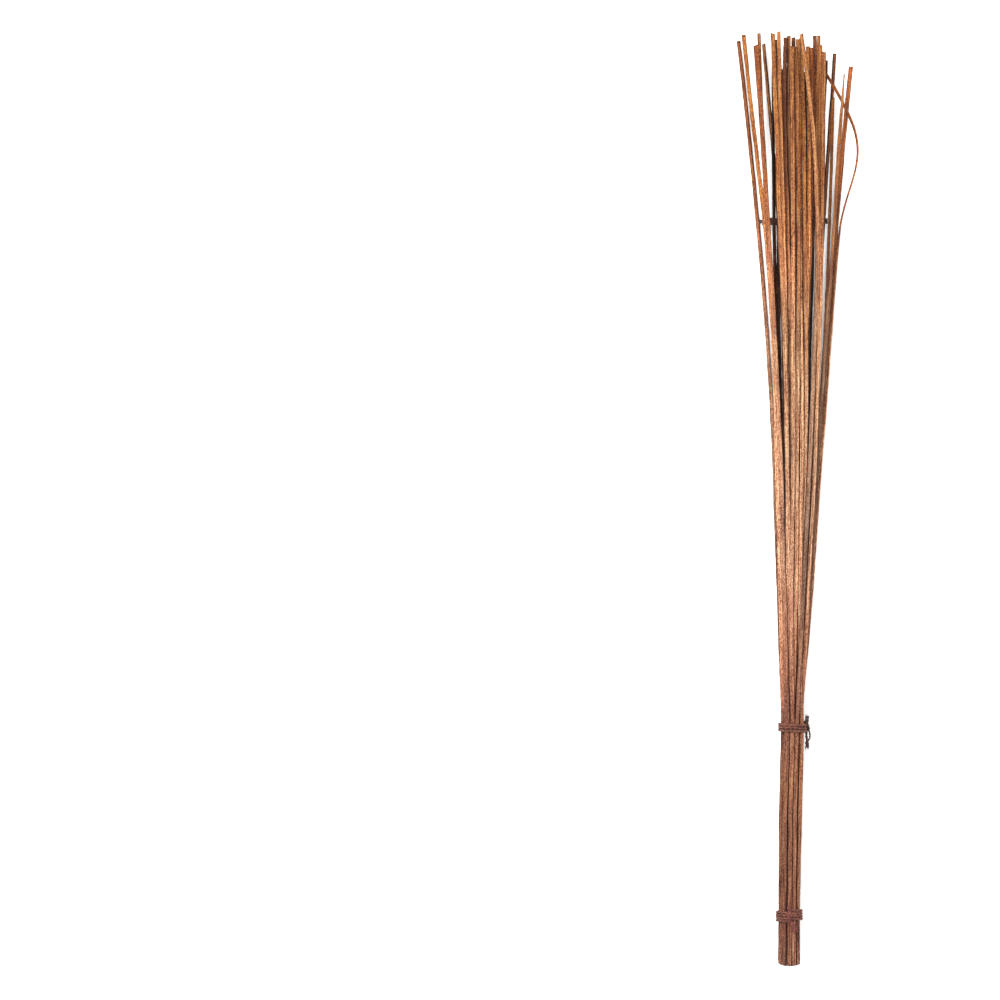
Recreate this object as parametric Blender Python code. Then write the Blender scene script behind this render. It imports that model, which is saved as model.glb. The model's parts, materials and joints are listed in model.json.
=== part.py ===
"""A bunch of dried split reeds, tied with twine and lying on its back.

The bunch lies along +Y, its cut foot at -Y and its tips at +Y. X runs across the
fan and +Z is up. The reeds are flat strips with square edges. Twine holds them in
a tight bundle near the foot, and above the upper tie they open into a loose fan.

Each reed is a bevelled curve. It is straight up to the upper tie, but for the slight
swell of the bundle between the ties, and from there it runs smoothly through the
places given for it. The bundle starts as loose layers, which are then drawn together
turn by turn, each reed keeping clear of all the others.
"""

import math
from collections import namedtuple

import bmesh
import bpy
import numpy as np
from mathutils import Vector

MM = 0.001

# Heights along the bunch, in millimetres from the foot.
LOWER_TIE_AT = 54.0
UPPER_TIE_AT = 256.0
BACK_TIE_AT = 799.0
LONGEST_REED = 1000.0

# The middle of the tied bundle, in millimetres: X at the foot and at the upper tie,
# and its height above the ground.
FOOT_MIDDLE_X = -2.1
TIE_MIDDLE_X = 0.4
BUNDLE_MIDDLE_Z = 15.5
# Between the ties the bundle is wider than in them by this share, and bends by this
# much in X. The fan of the cut ends is wider than the bundle in the lower tie.
SWELL, BEND = 0.11, -1.1
FOOT_FLARE = 0.18

TWINE_DIAMETER = 2.8
BACK_TWINE_DIAMETER = 2.2
CLEARANCE = 0.3

# Width and thickness of the strips, in millimetres.
SECTIONS = {
    "thin": (3.2, 1.6),
    "slim": (3.8, 1.9),
    "plain": (4.2, 1.8),
    "wide": (4.5, 1.9),
    "broad": (5.3, 2.0),
}

COLOURS = {
    "golden": (0.440, 0.165, 0.055),
    "tan": (0.500, 0.225, 0.095),
    "reddish": (0.260, 0.080, 0.027),
    "brown": (0.185, 0.062, 0.024),
    "dark": (0.050, 0.019, 0.011),
}

# One row for each reed, from the back layer to the front one. A turn is how many
# degrees the right edge is lifted. The places are X at each of PLACES_AT below the
# tip, and at the tip. The other figures are millimetres.
PLACES_AT = (420, 540, 660, 780, 900)
Reed = namedtuple("Reed", "layer section colour tip_at tip_z tip_turn places")
REEDS = tuple(Reed(*row) for row in (
    (0, "plain", "dark", 960, 4.2, 4, (-2.2, -2, -2.8, -3, -5.5, -6)),
    (0, "plain", "dark", 955, 4.2, -3, (9.5, 12.3, 12.8, 10.8, 9, 8.5)),
    (0, "plain", "dark", 950, 6, 6, (15, 21.2, 26.3, 29.3, 27.5, 26.5)),
    (1, "plain", "dark", 968, 7.5, 10, (-6, -8.9, -13.6, -13.7, -14.8, -15)),
    (1, "slim", "dark", 972, 8.5, -12, (6.4, 8, 8.1, 7.5, 7, 6.5)),
    (1, "wide", "reddish", 964.1, -1, 0, (22.3, 30.4, 39.2, 47.2, 57.7, 64.2)),
    (2, "plain", "reddish", 991.7, -1, 40, (-14.7, -18.6, -24.9, -34.7, -46.5, -56.8)),
    (2, "slim", "dark", 958, 12, -10, (10.6, 12.8, 13.4, 16, 15.6, 15)),
    (2, "plain", "dark", 966, 13, 14, (-1.8, -1.1, -0.5, -0.1, -0.2, -0.5)),
    (2, "slim", "reddish", 977.7, 13, -35, (16.8, 22.6, 27.8, 33.3, 41, 46.4)),
    (2, "thin", "reddish", 956, 4.5, 70, (23.3, 31.4, 41.3, 50, 60, 66)),
    (3, "slim", "brown", 999.3, 17.5, -12, (-10.6, -13.2, -18.2, -24.8, -31.6, -35.1)),
    (3, "slim", "brown", 987.9, 14, 32, (-7, -7.2, -8.8, -12.8, -22.2, -30)),
    (3, "plain", "dark", 994.7, 18, 18, (2.4, 3.2, 3.6, 3.7, 2.9, 2.1)),
    (3, "plain", "dark", 996.6, 18, -14, (11.8, 16.2, 19.3, 22.9, 24.7, 24.4)),
    (3, "thin", "dark", 830, 9, 10, (20.2, 28.3, 36.5, 45.2, 48.6)),
    (4, "slim", "dark", 985, 20, -50, (-8.9, -11.2, -15.8, -18.8, -19.6, -19.5)),
    (4, "plain", "brown", 960, 31, 10, (-2.4, -2.5, -3.6, -6.5, -9.8, -10.4)),
    (4, "plain", "reddish", 983.4, 30, 4, (11.3, 15.1, 16.5, 19.6, 20.9, 20.4)),
    (4, "thin", "brown", 930, 20, 25, (18.8, 27.2, 34.6, 39.8, 43.6, 44.3)),
    (5, "slim", "dark", 991.7, 34, 30, (-6.5, -7.5, -8.6, -10.8, -14.8, -17.4)),
    (5, "slim", "brown", 996, 35, 12, (0.5, 1.5, 1.5, 0.3, -3.7, -3.6)),
    (5, "plain", "golden", 984.6, 34, 8, (10.5, 14.3, 15.3, 18.4, 18.2, 16.6)),
    (5, "plain", "reddish", 969.9, 19.5, 30, (18.2, 24.2, 28.6, 31.6, 33, 36.6)),
    (6, "plain", "reddish", 993.9, 39, 16, (-1, 0.3, -0.9, -4, -8.1, -7.4)),
    (6, "slim", "brown", 996, 37, 5, (12.8, 18.6, 23.6, 27, 27.6, 28.5)),
    (6, "slim", "golden", 954.8, 34, 0, (20.5, 27.5, 35.7, 44, 51.8, 55.8)),
    (7, "wide", "golden", 996.9, 34, -14, (-12.6, -15.8, -20, -27.3, -41.6, -52)),
    (7, "plain", "tan", 999.9, 45, -6, (-4.4, -5, -6.6, -9.1, -12.7, -14.6)),
    (7, "plain", "golden", 992.8, 42, -8, (8.6, 14.4, 15.3, 13.5, 12, 9.5)),
    (7, "plain", "golden", 985.8, 41, -6, (13.4, 19.2, 23.9, 28.2, 30, 30.4)),
    (7, "plain", "golden", 978, 44.5, 12, (18.4, 24.3, 28.6, 31.6, 33.1, 33.7)),
    (8, "wide", "golden", 997.7, 50, -8, (-4.3, -5.1, -7.7, -12.6, -17.2, -21.2)),
    (8, "plain", "golden", 983.7, 51, 14, (4.3, 5.1, 5.8, 6.7, 6, 3.4)),
    (8, "plain", "golden", 991.7, 46, -10, (8.3, 10.8, 10.2, 7.9, 7.3, 5.9)),
    (9, "broad", "reddish", 985.3, 46, 3, (-9.3, -12.3, -18.2, -25, -32.4, -39.3)),
    (9, "wide", "golden", 983.7, 56, 10, (-0.6, 1.2, 1.1, 0.7, 0, -0.9)),
    (9, "plain", "tan", 996.9, 57, 4, (13.2, 18.9, 23.8, 27.3, 21.6, 9.3)),
))

# The bowed reed's row says how it would lie if it were straight. This is where it
# runs instead, above the point where it leaves its neighbours: height along the
# bunch, X, height above the ground, and turn.
BOWED_REED = 10
BOWED_PATH = (
    (705, 44.5, 5.2, 70),
    (760, 48.9, 5.8, 72),
    (795, 52.4, 6.8, 74),
    (816, 57.3, 8.2, 74),
    (834, 62.9, 10.0, 72),
    (850, 67.9, 11.0, 70),
    (863, 70.6, 12.3, 68),
    (875, 71.2, 13.5, 65),
    (886, 70.1, 15.0, 58),
    (897, 67.3, 16.5, 45),
    (909, 62.8, 18.0, 30),
    (924, 55.3, 19.7, 14),
    (941, 46.0, 22.0, 5),
    (956, 36.2, 23.3, 0),
)

# The reed with a worn, pointed tip, and how wide its tip is against the rest of it.
POINTED_REED, POINT_SHARE = 26, 0.45

STATIONS = (0, 54, 155, 256, 300, 350, 410, 475, 540, 610, 680, 740, 799, 850, 900, 945)
SHORTEST_STEP = 25.0

# The ties. The knot lies where the twine passes nearest to "near", given as X and
# height above the ground. The ends run from the middle of the knot through these
# steps, given as X, height along the bunch and height above the ground.
TIES = {
    "upper_tie": {
        "at": UPPER_TIE_AT,
        "diameter": TWINE_DIAMETER,
        "turns": 3,
        "pitch": 2.9,
        "near": (30, 17),
        "knot": (7.0, 9.5, 6.5),
        "end_diameter": 1.5,
        "ends": (
            ((0, 0, 1), (-0.6, 6, 1.6), (-0.4, 12.0, 1.0)),
            ((0, 0, 0), (1.1, 6, 0.4), (1.3, 11.5, 1.2)),
            ((-0.3, -2, 1), (-0.4, -8, 2.2), (0.0, -13, 2.4), (0.8, -17, 2.2), (1.6, -23, 1.4)),
            ((1.8, -2, 0), (3.2, -7, 1.2), (3.1, -12, 2.2), (0.4, -16.5, 3.4), (-1.2, -23, 2.4)),
        ),
    },
    "lower_tie": {
        "at": LOWER_TIE_AT,
        "diameter": TWINE_DIAMETER,
        "turns": 4,
        "pitch": 2.9,
        "near": (-2, 36),
        "knot": (5.0, 8.0, 4.6),
        "end_diameter": 1.5,
        "ends": (
            ((0, 0, 0), (-0.4, 5.8, -0.6), (0.6, 11.0, -0.9)),
            ((0, 0, 0), (-0.8, 5.8, -0.6), (-1.8, 9.5, -0.9)),
            ((0, 0, 0), (0.8, -5.8, -0.6), (3.2, -10, 0.2), (5.6, -19.0, -0.9)),
            ((0, 0, 0), (0.8, -5.8, -0.6), (4.8, -9.5, 0.4), (8.4, -16.5, -0.9)),
        ),
    },
    "back_tie": {
        "at": BACK_TIE_AT,
        "diameter": BACK_TWINE_DIAMETER,
        "turns": 3,
        "pitch": 2.3,
        "near": (-60, 15),
        "knot": (4.0, 6.5, 4.0),
        "end_diameter": 1.3,
        "ends": (
            ((0, 0, 0), (-2.4, 1.6, -5.0), (-4.4, 2.2, -10.6)),
            ((0, 0, 0), (-2.0, -1.2, -5.0), (-3.6, -2.0, -10.4)),
        ),
    },
}

# The third tie goes round the reeds whose tips are no higher than this, but for these.
BACK_TIE_HEIGHT = 20.0
FREE_REEDS = (5, 6, 10, 15, 19)
TWINE_COLOUR = (0.110, 0.042, 0.026)

# How much of the way from the upper tie to its tip a reed takes to turn from the way
# it lies in the tie to the way it lies at its tip.
TURN_DONE = 0.85

# How the bundle is drawn together. It starts with the reeds side by side in layers,
# this far apart and each turned a little. Then each reed in turn is moved by small
# random steps, which shrink from round to round, and a step is kept where it brings
# the reed nearer to the middle and no nearer to its neighbours than they may be.
SEED = 2
LAYER_PITCH, COLUMN_PITCH = 3.0, 5.0
START_TURN = math.radians(9)
ROUNDS, TRIES = 300, 3
FIRST_STEP, LAST_STEP = 0.9, 0.1
STEP_SHARES = np.array([1, 1, 1, 1, 0.12, 0.12])
HEIGHT_STEP = 25.0

# What weighs how much there: one millimetre inside a neighbour, one radian of turn,
# and one millimetre from the middle across the bundle, against one up or down.
OVERLAP_WEIGHT, TURN_WEIGHT, ACROSS_WEIGHT = 40.0, 0.3, 1.6
FAR_AWAY = 1000.0

# The twine. A tie is laid round all that its band covers. It bends round each corner
# in steps of at most this many degrees, and its points are at least this far apart.
TIE_HALF_BAND = 6.5
ANGLE_STEP, WIDEST_BEND = 0.5, 30.0
CLOSEST_POINTS = 0.8
LUMP_SIDES, LUMP_RINGS = 12, 8
END_KNOT_SHARE = 1.6
WELD = 1e-6
REED_ROUGHNESS, TWINE_ROUGHNESS = 0.7, 0.8


def half_size(reed):
    width, thickness = SECTIONS[reed.section]
    return width / 2, thickness / 2


def stations_of(number):
    """Heights along the bunch at which the reed's curve has a point."""
    if number == BOWED_REED:
        lower = [at for at in STATIONS if at < BOWED_PATH[0][0]]
        return np.array(lower + [point[0] for point in BOWED_PATH], float)
    tip_at = REEDS[number].tip_at
    return np.array([at for at in STATIONS if at < tip_at - SHORTEST_STEP] + [tip_at], float)


def cubic(u, start, start_slope, end, end_slope):
    """The cubic from start to end over u = 0 to 1, with the given slopes there."""
    return (
        start * (1 + 2 * u) * (1 - u) ** 2
        + end * u**2 * (3 - 2 * u)
        + start_slope * u * (1 - u) ** 2
        - end_slope * u**2 * (1 - u)
    )


def smooth_line(heights, places, at):
    """A smooth line through these places at these heights, read off at other heights.

    Between two of them it is a cubic. Its slope at each is that of the parabola
    through it and its two neighbours.
    """
    heights, places = np.array(heights, float), np.array(places, float)
    slopes = np.gradient(places, heights, edge_order=2)
    piece = np.clip(np.searchsorted(heights, at, side="right") - 1, 0, len(heights) - 2)
    length = np.diff(heights)[piece]
    u = (at - heights[piece]) / length
    ends = places[piece], slopes[piece] * length, places[piece + 1], slopes[piece + 1] * length
    return cubic(u, *ends)


def line_of(number, hold):
    """X, Z and turn in radians of one reed at its stations.

    hold is where the bundle holds it: X and Z at the foot, X and Z at the upper tie,
    and its turn at both.
    """
    reed = REEDS[number]
    foot_x, foot_z, tie_x, tie_z, foot_turn, tie_turn = hold
    along = stations_of(number)
    below = np.clip(along / UPPER_TIE_AT, 0, 1)
    above = np.clip((along - UPPER_TIE_AT) / (reed.tip_at - UPPER_TIE_AT), 0, 1)
    x = foot_x + (tie_x - foot_x) * below
    middle = FOOT_MIDDLE_X + (TIE_MIDDLE_X - FOOT_MIDDLE_X) * below
    x += (SWELL * (x - middle) + BEND) * np.sin(math.pi * below)
    x[0] += FOOT_FLARE * (foot_x - FOOT_MIDDLE_X)
    free = along > UPPER_TIE_AT
    heights = (UPPER_TIE_AT, *PLACES_AT[: len(reed.places) - 1], reed.tip_at)
    x[free] = smooth_line(heights, (tie_x, *reed.places), along[free])
    rise = reed.tip_z - tie_z
    z = foot_z + (tie_z - foot_z) * below + cubic(above, 0, rise, rise, rise / 2)
    turned = np.minimum(above / TURN_DONE, 1)
    turn = foot_turn + (tie_turn - foot_turn) * below
    turn += (math.radians(reed.tip_turn) - tie_turn) * turned
    if number == BOWED_REED:
        path = np.array(BOWED_PATH, float)
        free = along >= path[0, 0]
        x[free], z[free], turn[free] = path[:, 1], path[:, 2], np.radians(path[:, 3])
    half_width, half_thickness = half_size(reed)
    lowest = half_width * abs(np.sin(turn)) + half_thickness * np.cos(turn)
    return along, x, np.maximum(z, lowest), turn


def gaps_to(own, others):
    """The gap between one section and each of the others, below zero where they overlap.

    A section is X, Z, turn, half width and half thickness. Two rectangles are clear
    of each other where they are clear along one of their four side directions.
    """
    x, z, turn, half_width, half_thickness = own
    other_x, other_z, other_turn, other_width, other_thickness = others
    across, up = other_x - x, other_z - z
    cos_between, sin_between = abs(np.cos(other_turn - turn)), abs(np.sin(other_turn - turn))
    found = []
    for angle, a, b, c, d in (
        (turn, half_width, half_thickness, other_width, other_thickness),
        (other_turn, other_width, other_thickness, half_width, half_thickness),
    ):
        along_width = abs(across * np.cos(angle) + up * np.sin(angle))
        along_thickness = abs(up * np.cos(angle) - across * np.sin(angle))
        found.append(along_width - a - c * cos_between - d * sin_between)
        found.append(along_thickness - b - c * sin_between - d * cos_between)
    return np.maximum.reduce(found)


def sections_at(number, hold, heights):
    """X, Z, turn, half width and half thickness of one reed at these heights."""
    along, x, z, turn = line_of(number, hold)
    lean = np.interp(heights, along, np.gradient(x, along))
    half_width, half_thickness = half_size(REEDS[number])
    stretch = np.sqrt(1 + lean**2)
    reached = np.interp(heights, along, x)
    reached[heights > along[-1] + 1] = FAR_AWAY * (number + 1)
    return np.array([
        reached,
        np.interp(heights, along, z),
        np.interp(heights, along, turn),
        half_width * stretch,
        half_thickness + 0 * stretch,
    ])


def lowest_at(heights):
    """Height above the ground that leaves room for the twine under the bundle."""
    return np.where(heights < UPPER_TIE_AT + TIE_HALF_BAND, TWINE_DIAMETER + CLEARANCE, 0.0)


def loose_hold(number, random):
    """Where the reed starts: a place in its layer, side by side with its neighbours."""
    reed = REEDS[number]
    # Side by side in the order in which they lie where the fan begins.
    layer = sorted(other.places[0] for other in REEDS if other.layer == reed.layer)
    x = (layer.index(reed.places[0]) - (len(layer) - 1) / 2) * COLUMN_PITCH
    z = TWINE_DIAMETER + CLEARANCE + half_size(reed)[1] + reed.layer * LAYER_PITCH
    foot_turn, tie_turn = random.normal(0, START_TURN, 2)
    return np.array([x + FOOT_MIDDLE_X, z, x + TIE_MIDDLE_X, z, foot_turn, tie_turn])


def effort(number, hold, sections, heights):
    """How far from the middle a reed is held, and what it costs to lie in another."""
    foot_x, foot_z, tie_x, tie_z, foot_turn, tie_turn = hold
    pull = math.hypot(ACROSS_WEIGHT * (foot_x - FOOT_MIDDLE_X), foot_z - BUNDLE_MIDDLE_Z)
    pull += math.hypot(ACROSS_WEIGHT * (tie_x - TIE_MIDDLE_X), tie_z - BUNDLE_MIDDLE_Z)
    own = sections_at(number, hold, heights)
    others = np.delete(sections, number, axis=0).transpose(1, 0, 2)
    inside = np.minimum(gaps_to(own[:, None], others) - CLEARANCE, 0).sum()
    half_width, half_thickness = half_size(REEDS[number])
    reach = half_width * abs(np.sin(own[2])) + half_thickness * np.cos(own[2])
    below = np.minimum(own[1] - reach - lowest_at(heights), 0).sum()
    twist = TURN_WEIGHT * (abs(foot_turn) + abs(tie_turn))
    return pull + twist - OVERLAP_WEIGHT * (inside + below), own


def drawn_together():
    """The hold of every reed, once the bundle has been drawn together."""
    random = np.random.default_rng(SEED)
    heights = np.union1d(np.arange(0, LONGEST_REED + 1, HEIGHT_STEP), STATIONS)
    holds = np.array([loose_hold(number, random) for number in range(len(REEDS))])
    sections = np.array([sections_at(n, hold, heights) for n, hold in enumerate(holds)])
    for step in np.geomspace(FIRST_STEP, LAST_STEP, ROUNDS):
        for number in random.permutation(len(REEDS)):
            before, _ = effort(number, holds[number], sections, heights)
            for _ in range(TRIES):
                trial = holds[number] + random.normal(0, 1, 6) * step * STEP_SHARES
                after, own = effort(number, trial, sections, heights)
                if after < before:
                    holds[number], sections[number], before = trial, own, after
    return holds, sections, heights


def lowest_reach(sections):
    """How far below its middle each turned section reaches."""
    turn, half_width, half_thickness = sections[:, 2], sections[:, 3], sections[:, 4]
    return half_width * abs(np.sin(turn)) + half_thickness * np.cos(turn)


def lowered(holds, sections, heights):
    """The same holds, let down until the lowest reed leaves just room for the twine."""
    bottoms = sections[:, 1] - lowest_reach(sections)
    room = TWINE_DIAMETER + CLEARANCE
    at_upper = bottoms[:, abs(heights - UPPER_TIE_AT) <= TIE_HALF_BAND].min() - room
    at_lower = bottoms[:, abs(heights - LOWER_TIE_AT) <= TIE_HALF_BAND].min() - room
    share = LOWER_TIE_AT / UPPER_TIE_AT
    holds[:, 1] -= (at_lower - share * at_upper) / (1 - share)
    holds[:, 3] -= at_upper
    return holds


def corners_at(lines, numbers, at):
    """The X and Z of the corners of these reeds across the band of a tie, as rows."""
    found = []
    for number in numbers:
        along, x, z, turn = lines[number]
        half_width, half_thickness = half_size(REEDS[number])
        for height in (at - TIE_HALF_BAND, at, at + TIE_HALF_BAND):
            angle = np.interp(height, along, turn)
            middle = np.array([np.interp(height, along, x), np.interp(height, along, z)])
            wide = half_width * np.array([math.cos(angle), math.sin(angle)])
            thick = half_thickness * np.array([-math.sin(angle), math.cos(angle)])
            found += [middle + a * wide + b * thick for a in (-1, 1) for b in (-1, 1)]
    return np.array(found)


def loop_round(corners, diameter):
    """One turn of twine round these corners, as X and Z points.

    In each direction the twine lies against the outermost corner. Round each corner it
    bends in even steps, which stand off just far enough to keep the room between.
    """
    angles = np.radians(np.arange(0, 360, ANGLE_STEP))
    outermost = np.argmax(corners @ np.array([np.cos(angles), np.sin(angles)]), axis=0)
    firsts = np.flatnonzero(outermost != np.roll(outermost, 1))
    points = []
    for first, last in zip(firsts, [*firsts[1:], firsts[0] + len(angles)]):
        bends = math.ceil((last - first) * ANGLE_STEP / WIDEST_BEND)
        bend = math.radians((last - first) * ANGLE_STEP) / bends
        reach = (diameter / 2 + CLEARANCE) / math.cos(bend / 2)
        for number in range(bends):
            angle = math.radians((first - 0.5) * ANGLE_STEP) + bend * (number + 0.5)
            out = np.array([math.cos(angle), math.sin(angle)])
            point = corners[outermost[first]] + reach * out
            if not points or math.dist(point, points[-1]) > CLOSEST_POINTS:
                points.append(point)
    return np.array(points)


def started_near(loop, place):
    """The same loop, starting at its point nearest to the place."""
    place = np.array(place)
    ends = np.roll(loop, -1, axis=0)
    sides = ends - loop
    share = np.clip(((place - loop) * sides).sum(1) / (sides**2).sum(1), 0, 1)
    nearest = loop + share[:, None] * sides
    first = np.argmin(((nearest - place) ** 2).sum(1))
    start, rest = nearest[first], np.roll(loop, -first - 1, axis=0)
    apart = np.hypot(*(rest - start).T) > CLOSEST_POINTS
    return np.vstack([start, rest[apart]])


def wound(loop, tie):
    """The twine of a tie: the loop run through once for each turn, moving on evenly."""
    closed = np.vstack([loop, loop[:1]])
    lengths = np.hypot(*np.diff(closed, axis=0).T)
    run = np.concatenate([[0], np.cumsum(lengths)]) / lengths.sum()
    points = []
    for turn in range(tie["turns"]):
        for (x, z), share in zip(closed[:-1], run[:-1]):
            points.append((x, tie["at"] + tie["pitch"] * (turn + share - tie["turns"] / 2), z))
    points.append((*closed[-1, :1], tie["at"] + tie["pitch"] * tie["turns"] / 2, closed[-1, 1]))
    return points


def in_scene(point):
    """A point given as X, height along the bunch and height above the ground, in metres."""
    x, along, z = point
    return Vector((x, along - LONGEST_REED / 2, z)) * MM


def new_collection(name, hidden):
    collection = bpy.data.collections.new(name)
    bpy.context.scene.collection.children.link(collection)
    collection.hide_render = hidden
    return collection


def poly_curve(name, points, collection):
    """A curve object with one open spline of straight pieces through these points."""
    curve = bpy.data.curves.new(name, "CURVE")
    curve.dimensions = "3D"
    spline = curve.splines.new("POLY")
    spline.points.add(len(points) - 1)
    for target, point in zip(spline.points, points):
        target.co = (*in_scene(point), 1)
    curve.use_fill_caps = True
    thing = bpy.data.objects.new(name, curve)
    collection.objects.link(thing)
    return thing


def section_guide(name, collection):
    """A flat closed curve with the outline of a strip."""
    width, thickness = (size * MM for size in SECTIONS[name])
    curve = bpy.data.curves.new(f"{name}_section", "CURVE")
    curve.dimensions = "2D"
    spline = curve.splines.new("POLY")
    outline = ((-0.5, -0.5), (-0.5, 0.5), (0.5, 0.5), (0.5, -0.5))
    spline.points.add(len(outline) - 1)
    for target, (x, y) in zip(spline.points, outline):
        target.co = (x * width, y * thickness, 0, 1)
    spline.use_cyclic_u = True
    guide = bpy.data.objects.new(curve.name, curve)
    guide.hide_render = True
    guide.display_type = "WIRE"
    collection.objects.link(guide)
    return guide


def material(name, colour, roughness):
    made = bpy.data.materials.new(name)
    made.use_nodes = True
    shader = made.node_tree.nodes["Principled BSDF"]
    shader.inputs["Base Color"].default_value = (*colour, 1)
    shader.inputs["Roughness"].default_value = roughness
    shader.inputs["Metallic"].default_value = 0
    return made


def add_reed(number, line, guides, collection):
    along, x, z, turn = line
    name = f"reed_{number + 1:02d}"
    reed = poly_curve(name, list(zip(x, along, z)), collection)
    reed.data.twist_mode = "Z_UP"
    reed.data.bevel_mode = "OBJECT"
    reed.data.bevel_object = guides[REEDS[number].section]
    for point, angle in zip(reed.data.splines[0].points, turn):
        point.tilt = -angle
    if number == POINTED_REED:
        reed.data.splines[0].points[-1].radius = POINT_SHARE
    colour = REEDS[number].colour
    reed.data.materials.append(material(f"{name}_{colour}", COLOURS[colour], REED_ROUGHNESS))


def add_tube(name, points, diameter, collection):
    """A round tube through these points, made a mesh, its caps welded to its sides."""
    curve = poly_curve(f"{name}_path", points, collection)
    curve.data.bevel_depth = diameter / 2 * MM
    curve.data.bevel_resolution = 1
    graph = bpy.context.evaluated_depsgraph_get()
    mesh = bpy.data.meshes.new_from_object(curve.evaluated_get(graph))
    shape = bmesh.new()
    shape.from_mesh(mesh)
    bmesh.ops.remove_doubles(shape, verts=shape.verts, dist=WELD)
    shape.to_mesh(mesh)
    shape.free()
    tube = bpy.data.objects.new(name, mesh)
    tube.matrix_world = curve.matrix_world
    collection.objects.link(tube)
    bpy.data.objects.remove(curve)
    return tube


def add_lump(name, middle, size, collection):
    """A rounded lump of twine: a sphere stretched to this size."""
    mesh = bpy.data.meshes.new(name)
    shape = bmesh.new()
    bmesh.ops.create_uvsphere(shape, u_segments=LUMP_SIDES, v_segments=LUMP_RINGS, radius=0.5)
    bmesh.ops.scale(shape, vec=Vector(size) * MM, verts=shape.verts)
    bmesh.ops.translate(shape, vec=in_scene(middle), verts=shape.verts)
    shape.to_mesh(mesh)
    shape.free()
    lump = bpy.data.objects.new(name, mesh)
    collection.objects.link(lump)
    return lump


def join_to(whole, other):
    """Joins another object to the first with a Boolean union."""
    union = whole.modifiers.new(other.name, "BOOLEAN")
    union.operation = "UNION"
    union.solver = "EXACT"
    union.object = other
    other.hide_render = True
    other.display_type = "WIRE"


def add_tie(name, corners, parts, helpers):
    """The turns of twine, with a knot that hides both their ends, and loose ends."""
    tie = TIES[name]
    loop = started_near(loop_round(corners, tie["diameter"]), tie["near"])
    outward = np.array(tie["near"]) - loop[0]
    outward /= np.hypot(*outward)
    depth = tie["knot"][0] if abs(outward[0]) > abs(outward[1]) else tie["knot"][2]
    x, z = loop[0] + outward * (depth - tie["diameter"]) / 2
    path = wound(loop, tie)
    whole = add_tube(name, path, tie["diameter"], parts)
    whole.data.shade_smooth()
    whole.data.materials.append(material(f"{name}_twine", TWINE_COLOUR, TWINE_ROUGHNESS))
    join_to(whole, add_lump(f"{name}_knot", (x, tie["at"], z), tie["knot"], helpers))
    size = END_KNOT_SHARE * tie["diameter"]
    lift = outward * (size - tie["diameter"]) / 2
    for number, (end_x, along, end_z) in enumerate((path[0], path[-1]), 1):
        middle = (end_x + lift[0], along, end_z + lift[1])
        join_to(whole, add_lump(f"{name}_knot_{number}", middle, (size, size, size), helpers))
    for number, steps in enumerate(tie["ends"], 1):
        path = [(x + dx, tie["at"] + dy, z + dz) for dx, dy, dz in steps]
        join_to(whole, add_tube(f"{name}_end_{number}", path, tie["end_diameter"], helpers))


def points_of(thing):
    """The points of an object's final mesh, as rows of X, Y and Z."""
    final = thing.evaluated_get(bpy.context.evaluated_depsgraph_get())
    mesh = final.to_mesh()
    points = np.empty(3 * len(mesh.vertices), np.float32)
    mesh.vertices.foreach_get("co", points)
    final.to_mesh_clear()
    return points.reshape(-1, 3)


def move_to_middle(parts, helpers):
    """Moves everything so that the bunch is centred on X and Y and touches Z = 0."""
    points = np.vstack([points_of(thing) for thing in parts.objects])
    low, high = points.min(axis=0), points.max(axis=0)
    middle = Vector(((low[0] + high[0]) / 2, (low[1] + high[1]) / 2, low[2]))
    for thing in (*parts.objects, *helpers.objects):
        thing.location -= middle


def main():
    for thing in list(bpy.data.objects):
        bpy.data.objects.remove(thing)
    parts = new_collection("bunch_of_reeds", hidden=False)
    helpers = new_collection("helpers", hidden=True)
    guides = {name: section_guide(name, helpers) for name in SECTIONS}
    holds = lowered(*drawn_together())
    lines = [line_of(number, hold) for number, hold in enumerate(holds)]
    for number, line in enumerate(lines):
        add_reed(number, line, guides, parts)
    everyone = range(len(REEDS))
    add_tie("lower_tie", corners_at(lines, everyone, LOWER_TIE_AT), parts, helpers)
    add_tie("upper_tie", corners_at(lines, everyone, UPPER_TIE_AT), parts, helpers)
    low = [n for n in everyone if REEDS[n].tip_z <= BACK_TIE_HEIGHT]
    back = [n for n in low if n not in FREE_REEDS]
    add_tie("back_tie", corners_at(lines, back, BACK_TIE_AT), parts, helpers)
    move_to_middle(parts, helpers)


if __name__ == "__main__":
    main()
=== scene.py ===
"""The looks of a bunch of dried split reeds, tied with twine and lying on its back.

The bunch lies along +Y, its cut foot at -Y and its tips at +Y, and +Z is up. Each
reed is made over its plain solid as a strip of split wood, with rounded edges, ridges,
chips and rough cut ends. Each tie is made as two-ply twine, laid round the reeds that
it holds and knotted, with its ends frayed.

Shapes are worked out in millimetres and go into the meshes in metres. A surface is rows
of ten numbers:
- X, distance from the foot and height above the ground
- its place in the straight strip or ply: across, through and along it
- three marks: on a reed, how far it is on an edge, on a split side and on a cut end, and
  on twine, how far it is on the crest of a strand, how red it is, and nothing
- its tone, which is how light it is, with painted shade in it
"""

import json
import math

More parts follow.
